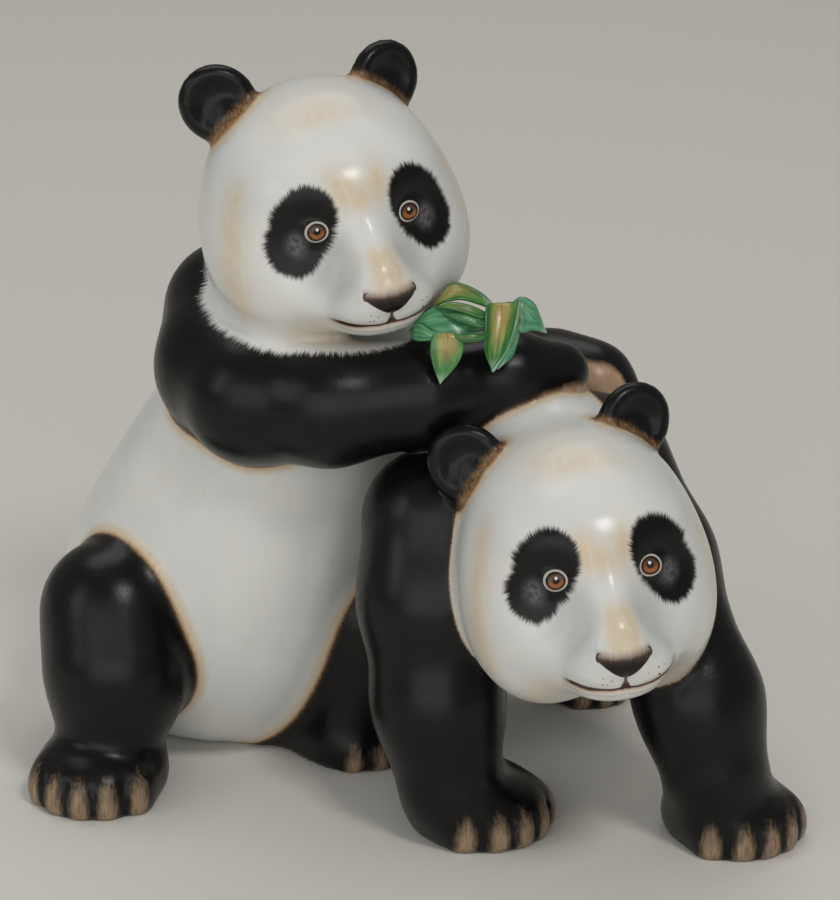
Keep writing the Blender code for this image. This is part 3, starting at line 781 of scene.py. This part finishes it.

    # mouth: a brown line, warmer at its edge, the lip under it and a painted shadow below the lip
    line_height = m.curve(m.math("DIVIDE", ax, 24.0), [(0.0, 0.48), (0.125, 0.41), (0.29, 0.44), (0.5, 0.52), (0.646, 0.66), (0.75, 0.76), (1.0, 0.95)])
    mouth_z = m.add(-30.0, m.mul(line_height, 10.0))
    gap = m.sub(fz, mouth_z)
    reach = m.step(ax, 18.6, 15.0)
    thick = m.add(0.26, m.mul(m.mul(m.step(ax, 6.0, 12.5), 0.34), m.step(fx, 2.0, -4.0, 0.35, 1.0)))
    thick = m.add(thick, m.step(ax, 2.2, 0.2, 0.0, 0.5))
    wobble = m.mul(m.sub(m.noise(m.join(fx, 3.0, 0.0), 0.8, 2.0), 0.5), 0.3)
    line = m.step(m.sub(m.size(m.add(gap, wobble)), m.mul(thick, reach)), 0.30, -0.12)
    snout = m.mul(m.mul(m.step(fy, -26.0, -31.0), reach), m.step(m.value("on_head"), 0.3, 0.7))
    lip = m.mul(m.mul(m.step(gap, -2.1, -1.1), m.step(gap, 0.2, -0.3)), snout)
    colour = m.mix(m.mul(lip, 0.45), colour, (0.600, 0.420, 0.300))
    # painted shadow: a soft band below the lip
    lip_shadow = m.mul(m.mul(m.step(gap, -3.1, -2.3), m.step(gap, -1.5, -2.1)), snout)
    colour = m.mix(m.mul(lip_shadow, 0.35), colour, (0.380, 0.310, 0.250))
    colour = m.mix(m.mul(m.step(m.sub(m.size(m.add(gap, 0.25)), m.mul(thick, 1.15)), 0.55, -0.1), m.mul(snout, 0.55)), colour, (0.330, 0.150, 0.070))
    colour = m.mix(m.mul(line, m.mul(snout, 0.96)), colour, (0.035, 0.014, 0.008))
    stem = m.mul(m.mul(m.step(m.sub(ax, m.mul(m.step(fz, -23.0, -25.2), 0.9)), 0.75, 0.25), m.step(fz, -26.0, -25.2)), m.mul(m.step(fz, -20.8, -21.6), forward))
    colour = m.mix(m.mul(stem, 0.92), colour, (0.060, 0.028, 0.018))

    # whisker dots in a loose cluster on each side
    spots_at = m.join(m.mul(fx, 1.0), 0.0, m.mul(fz, 1.0))
    dot, dot_colour = m.cells(spots_at, 0.72)
    dot_size, dot_there, _ = m.split(dot_colour)
    cluster = m.mul(m.mul(m.step(ax, 3.6, 5.2), m.step(ax, 14.5, 12.5)), m.mul(m.step(gap, 0.8, 1.3), m.step(gap, 5.6, 4.4)))
    cluster = m.mul(cluster, m.mul(m.step(fy, -34.0, -38.0), m.step(dot_there, 0.18, 0.22)))
    dots = m.step(m.sub(dot, m.add(0.10, m.mul(dot_size, 0.20))), 0.10, -0.03)
    colour = m.mix(m.mul(m.mul(dots, cluster), m.add(0.30, m.mul(dot_size, 0.65))), colour, (0.020, 0.016, 0.014))

    m.put(m.shader.inputs["Base Color"], colour)
    wet = m.step(r, 3.4, 3.1)
    sheen_noise = m.noise(at, 0.4, 3.0, 0.6)
    rough_black = m.add(0.23, m.mul(sheen_noise, 0.14))
    rough_white = m.add(0.16, m.mul(sheen_noise, 0.10))
    satin = m.most(black, m.mul(pad, 0.8))
    rough = m.add(m.mul(satin, rough_black), m.mul(m.sub(1.0, satin), rough_white))
    rough = m.add(m.mul(rough, m.sub(1.0, wet)), m.mul(wet, 0.16))
    m.put(m.shader.inputs["Roughness"], rough)
    m.shader.inputs["IOR"].default_value = 1.35
    m.shader.inputs["Specular IOR Level"].default_value = 0.5
    pores = m.noise(m.scaled(at, (1.0, 1.0, 0.55)), 1.5, 2.0, 0.65)
    ripple = m.noise(at, 0.10, 2.0, 0.5)
    height = m.add(m.mul(m.mul(pores, black), 0.30), m.mul(ripple, 1.0))
    m.put(m.shader.inputs["Normal"], m.bump(height, 0.00022, 0.55))
    return m.material


def leaf_glaze():
    m = Paint("leaf_glaze")
    at, blade = m.place("place"), m.place("blade")
    u, w, back = m.split(blade)
    ochre, mint, deep = m.split(m.place("kind"))
    aw = m.size(w)
    flow = m.noise(m.join(m.mul(u, 1.5), m.mul(w, 1.5), m.mul(ochre, 5.0)), 2.0, 3.0, 0.55)
    green = m.mix(m.step(flow, 0.36, 0.64), (0.020, 0.130, 0.020), (0.100, 0.310, 0.055))
    green = m.mix(mint, green, m.mix(m.step(flow, 0.3, 0.7), (0.040, 0.235, 0.120), (0.160, 0.430, 0.250)))
    green = m.mix(m.mul(deep, m.step(flow, 0.25, 0.75, 0.85, 0.35)), green, (0.012, 0.085, 0.040))
    heart = m.mul(m.step(aw, 0.95, 0.20), m.mul(m.step(u, 0.02, 0.22, 0.6, 1.0), m.step(u, 0.86, 0.42)))
    colour = m.mix(m.mul(heart, m.mul(ochre, 0.95)), green, m.mix(flow, (0.300, 0.240, 0.050), (0.560, 0.370, 0.150)))
    vein = m.step(m.size(m.sub(m.math("FRACT", m.mul(m.add(aw, m.mul(u, 0.25)), 3.0)), 0.5)), 0.40, 0.5, 0.0, 0.12)
    colour = m.mix(vein, colour, (0.030, 0.140, 0.050))
    rib = m.mul(m.step(aw, 0.06, 0.015), m.step(u, 0.46, 0.30))
    colour = m.mix(m.mul(rib, 0.60), colour, (0.060, 0.075, 0.020))
    tip = m.mul(m.step(u, 0.80, 1.0), m.sub(1.0, deep))
    colour = m.mix(m.mul(tip, 0.70), colour, (0.500, 0.690, 0.560))
    rim = m.step(m.add(aw, m.mul(m.sub(flow, 0.5), 0.08)), 0.88, 0.99)
    colour = m.mix(m.mul(rim, 0.85), colour, (0.020, 0.110, 0.018))
    m.put(m.shader.inputs["Base Color"], colour)
    m.put(m.shader.inputs["Roughness"], m.add(0.20, m.mul(m.noise(at, 0.5, 2.0), 0.12)))
    m.shader.inputs["IOR"].default_value = 1.5
    m.put(m.shader.inputs["Normal"], m.bump(m.add(m.mul(flow, 0.5), m.mul(m.step(aw, 0.14, 0.0), -0.4)), 0.0003, 0.4))
    return m.material


# ---- the porcelain body ------------------------------------------------------------------------------------------
body.materials.append(glazed_porcelain())
body.shade_smooth()
pair = bpy.data.objects.new("panda_pair_porcelain", body)
bpy.context.scene.collection.objects.link(pair)
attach(pair, "root")
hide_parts("panda_pair")


# ---- the leaf sprig ----------------------------------------------------------------------------------------------
def smooth_line(points, t):
    """A smooth curve through the points, at each t from 0 to 1."""
    points = np.asarray(points, float)
    ends = np.vstack([2 * points[0] - points[1], points, 2 * points[-1] - points[-2]])
    place = np.clip(np.asarray(t), 0, 1) * (len(points) - 1)
    i = np.minimum(place.astype(int), len(points) - 2)
    f = (place - i)[:, None]
    a, b, c, d = ends[i], ends[i + 1], ends[i + 2], ends[i + 3]
    return 0.5 * (2 * b + (c - a) * f + (2 * a - 5 * b + 4 * c - d) * f * f + (3 * b - a - 3 * c + d) * f ** 3)


# each leaf: one edge, the other edge, the bulge of the blade, and its kind (ochre, mint, deep)
LEAVES = {
    "cheek": (
        ((410, 331, -20), (420, 317, -24), (438, 306, -24), (462, 309, -23), (488, 320, -21)),
        ((410, 331, -20), (415, 340, -25), (434, 339, -30), (460, 336, -31), (488, 330, -26)), 1.3, (0.0, 0.75, 0.30)),
    "cheek_fold": (
        ((412, 333, -24), (420, 323, -27), (434, 331, -30.5), (456, 334, -32), (487, 331, -28)),
        ((412, 333, -24), (416, 341, -27), (432, 341, -31.5), (456, 341, -33), (487, 334, -29)), 0.5, (0.0, 0.60, 0.0)),
    "lower": (
        ((448, 333, -31), (458, 334, -33), (472, 333, -33), (482, 333, -32), (492, 335, -30)),
        ((448, 333, -31), (457, 340, -33), (468, 343, -34), (481, 341, -33), (492, 335, -30)), 0.7, (0.10, 0.0, 0.90)),
    "upper": (
        ((432, 308, -22), (440, 297, -20), (451, 284, -18), (470, 288, -17), (493, 304, -17)),
        ((432, 308, -22), (446, 303, -25), (462, 301, -25), (478, 305, -24), (493, 310, -22)), 0.9, (0.80, 0.0, 0.10)),
    "upper_back": (
        ((452, 286, -17), (462, 285, -14), (474, 290, -13), (486, 298, -13), (497, 309, -14)),
        ((452, 286, -17), (462, 291, -18), (474, 299, -19), (486, 306, -19), (497, 309, -14)), 0.4, (0.0, 0.0, 0.85)),
    "middle": (
        ((434, 309, -25), (450, 303, -27), (466, 305, -27.5), (480, 310, -27), (492, 317, -24)),
        ((434, 309, -25), (448, 310, -29), (464, 314, -30), (480, 319, -29.5), (492, 320, -26)), 0.9, (0.20, 0.0, 0.35)),
    "middle_low": (
        ((442, 313, -27), (456, 313, -29.5), (470, 316, -30), (482, 321, -29.5), (490, 327, -27)),
        ((442, 313, -27), (454, 320, -30), (468, 325, -31), (480, 328, -31), (490, 327, -27)), 0.6, (0.0, 0.25, 0.60)),
    "hanging": (
        ((447, 338, -30), (434, 335, -32), (430, 348, -33.5), (433, 366, -34), (440, 384, -33.5)),
        ((447, 338, -30), (461, 335, -32), (464, 348, -33.5), (457, 365, -34), (440, 384, -33.5)), 0.9, (0.95, 0.30, 0.0)),
    "folded": (
        ((500, 303, -21), (487, 306, -26), (485, 330, -31), (485, 352, -33.5), (492, 370, -33)),
        ((500, 303, -21), (517, 304, -25), (513, 326, -30.5), (506, 348, -33.5), (492, 370, -33)), -2.4, (1.0, 0.0, 0.10)),
    "folded_edge": (
        ((520, 299, -22), (516.5, 306, -26), (512.5, 326, -31), (505.5, 348, -34), (491, 371, -33.5)),
        ((520, 299, -22), (520.5, 307, -25.5), (516, 327, -30.5), (508.5, 349, -33.5), (494, 372, -33.2)), 0.5, (0.35, 0.9, 0.0)),
    "folded_under": (
        ((514, 322, -28), (514, 330, -28), (511, 342, -30.5), (506, 352, -32), (497, 369, -32.5)),
        ((514, 322, -28), (518, 334, -25), (515, 346, -27.5), (511, 357, -29.5), (497, 369, -32.5)), 0.5, (0.0, 0.9, 0.0)),
    "arched": (
        ((510, 304, -20), (521, 297, -21), (533, 303, -20), (540, 317, -19), (546, 333, -19)),
        ((510, 304, -20), (513, 320, -24), (519, 333, -26), (531, 331, -24), (546, 333, -19)), 1.3, (0.0, 0.95, 0.05)),
}


def leaf_sprig():
    long, wide = ((44, 16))
    t = np.linspace(0, 1, long + 1)
    s = np.linspace(-1, 1, wide + 1)
    verts, faces, blade, kind, place = [], [], [], [], []
    for edge_a, edge_b, bulge, tones in LEAVES.values():
        a = smooth_line([seen(*p) for p in edge_a], t)
        b = smooth_line([seen(*p) for p in edge_b], t)
        grid = a[:, None, :] * (1 - (s[None, :, None] + 1) / 2) + b[:, None, :] * (s[None, :, None] + 1) / 2
        along = np.gradient(grid, axis=0)
        across = np.gradient(grid, axis=1)
        n = np.cross(along, across)
        middle = n[long // 2, wide // 2]
        n = n / np.maximum(np.linalg.norm(n, axis=2, keepdims=True), 1e-6)
        if middle @ BACK < 0:
            n = -n
        mean = n[4:-4].mean((0, 1))
        mean /= np.linalg.norm(mean)
        lift = np.sin(np.pi * np.clip(t, 0, 1)) ** 0.6
        grid = grid + mean * (bulge * (1 - s ** 2)[None, :, None] * lift[:, None, None])
        grid = grid + mean * (0.45 * (np.abs(s) ** 4)[None, :, None] * lift[:, None, None])
        along, across = np.gradient(grid, axis=0), np.gradient(grid, axis=1)
        n = np.cross(along, across)
        n[0], n[-1] = n[1], n[-2]
        n /= np.maximum(np.linalg.norm(n, axis=2, keepdims=True), 1e-6)
        if n[long // 2, wide // 2] @ mean < 0:
            n = -n
        thin = 0.62 * (0.35 + 0.65 * (1 - np.abs(s) ** 3))[None, :, None] * (0.45 + 0.55 * lift)[:, None, None]
        for flip, side_no in ((1, 0.0), (-1, 1.0)):
            base = len(verts)
            sheet = (grid + flip * n * thin).reshape(-1, 3)
            verts.extend(sheet.tolist())
            place.append(sheet)
            tt, ss = np.meshgrid(t, s, indexing="ij")
            blade.append(np.stack([tt.ravel(), ss.ravel(), np.full(tt.size, side_no)], 1))
            kind.append(np.tile(np.array(tones, float), (tt.size, 1)))
            for i in range(long):
                for j in range(wide):
                    k = base + i * (wide + 1) + j
                    quad = (k, k + 1, k + wide + 2, k + wide + 1)
                    faces.append(quad if flip > 0 else quad[::-1])
        size = (long + 1) * (wide + 1)
        front_base, back_base = len(verts) - 2 * size, len(verts) - size
        ring = [i * (wide + 1) for i in range(long + 1)]
        ring += [long * (wide + 1) + j for j in range(1, wide + 1)]
        ring += [i * (wide + 1) + wide for i in range(long - 1, -1, -1)]
        ring += [j for j in range(wide - 1, 0, -1)]
        for k, one in enumerate(ring):
            two = ring[(k + 1) % len(ring)]
            faces.append((front_base + one, back_base + one, back_base + two, front_base + two))
    mesh = bpy.data.meshes.new("leaf_sprig")
    mesh.from_pydata((np.array(verts) * MM).tolist(), [], faces)
    keep_place(mesh, "blade", np.concatenate(blade))
    keep_place(mesh, "kind", np.concatenate(kind))
    keep_place(mesh, "place", np.concatenate(place))
    bm = bmesh.new()
    bm.from_mesh(mesh)
    bmesh.ops.remove_doubles(bm, verts=bm.verts, dist=0.00002)
    bmesh.ops.dissolve_degenerate(bm, edges=bm.edges, dist=0.000005)
    bmesh.ops.recalc_face_normals(bm, faces=bm.faces)
    bm.to_mesh(mesh)
    bm.free()
    mesh.materials.append(leaf_glaze())
    mesh.shade_smooth()
    sprig = bpy.data.objects.new("leaf_sprig", mesh)
    bpy.context.scene.collection.objects.link(sprig)
    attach(sprig, "root")
    return sprig


sprig = leaf_sprig()


# ---- floor and light ---------------------------------------------------------------------------------------------
def sweep():
    """A pale floor that curves up into a backdrop far behind."""
    profile = [(-3.4, 0.0), (2.4, 0.0)]
    profile += [(2.4 + 1.2 * math.sin(a), 1.2 - 1.2 * math.cos(a)) for a in np.linspace(0.1, math.pi / 2, 14)]
    profile += [(3.6, 4.0)]
    bm = bmesh.new()
    rows = [[bm.verts.new((x, y, z - 0.0002)) for x in np.linspace(-4.5, 4.5, 7)] for y, z in profile]
    for one, two in zip(rows[:-1], rows[1:]):
        for k in range(6):
            bm.faces.new((one[k], one[k + 1], two[k + 1], two[k]))
    mesh = bpy.data.meshes.new("floor")
    bm.to_mesh(mesh)
    bm.free()
    m = Paint("floor_paper")
    coords = m.tree.nodes.new("ShaderNodeTexCoord").outputs["Object"]
    tone = m.noise(coords, 900.0, 2.0, 0.6)
    m.put(m.shader.inputs["Base Color"], m.mix(tone, (0.745, 0.724, 0.670), (0.775, 0.754, 0.700)))
    m.shader.inputs["Roughness"].default_value = 0.85
    m.shader.inputs["Specular IOR Level"].default_value = 0.15
    mesh.materials.append(m.material)
    mesh.shade_smooth()
    floor = bpy.data.objects.new("floor", mesh)
    bpy.context.scene.collection.objects.link(floor)


def softbox(name, place, aim, width, height, power, colour=(1.0, 1.0, 1.0)):
    data = bpy.data.lights.new(name, "AREA")
    data.shape = "RECTANGLE"
    data.size, data.size_y = width, height
    data.energy = power
    data.color = colour
    lamp = bpy.data.objects.new(name, data)
    lamp.location = place
    lamp.rotation_euler = (Vector(aim) - Vector(place)).to_track_quat("-Z", "Y").to_euler()
    bpy.context.scene.collection.objects.link(lamp)


sweep()
softbox("key", (0.50, -0.98, 1.46), (0.0, 0.0, 0.12), 0.34, 0.34, 7.0, (1.0, 0.99, 0.975))
softbox("left", (-1.55, -0.75, 0.95), (0.0, 0.0, 0.12), 0.6, 0.9, 3.0, (0.985, 0.99, 1.0))
softbox("front", (-0.45, -2.4, 0.85), (-0.02, 0.0, 0.04), 3.2, 1.6, 21.0, (1.0, 0.995, 0.985))
softbox("top", (-0.2, 0.9, 1.95), (0.0, 0.45, 0.0), 1.8, 1.0, 10.0, (1.0, 0.995, 0.98))
world = bpy.data.worlds.new("studio")
world.use_nodes = True
world.node_tree.nodes["Background"].inputs["Color"].default_value = (0.86, 0.86, 0.84, 1.0)
world.node_tree.nodes["Background"].inputs["Strength"].default_value = 0.26
bpy.context.scene.world = world
bpy.context.scene.view_settings.view_transform = "Standard"
bpy.context.scene.view_settings.look = "None"

print("porcelain triangles", sum(len(p.vertices) - 2 for p in body.polygons), "leaves", sum(len(p.vertices) - 2 for p in sprig.data.polygons))
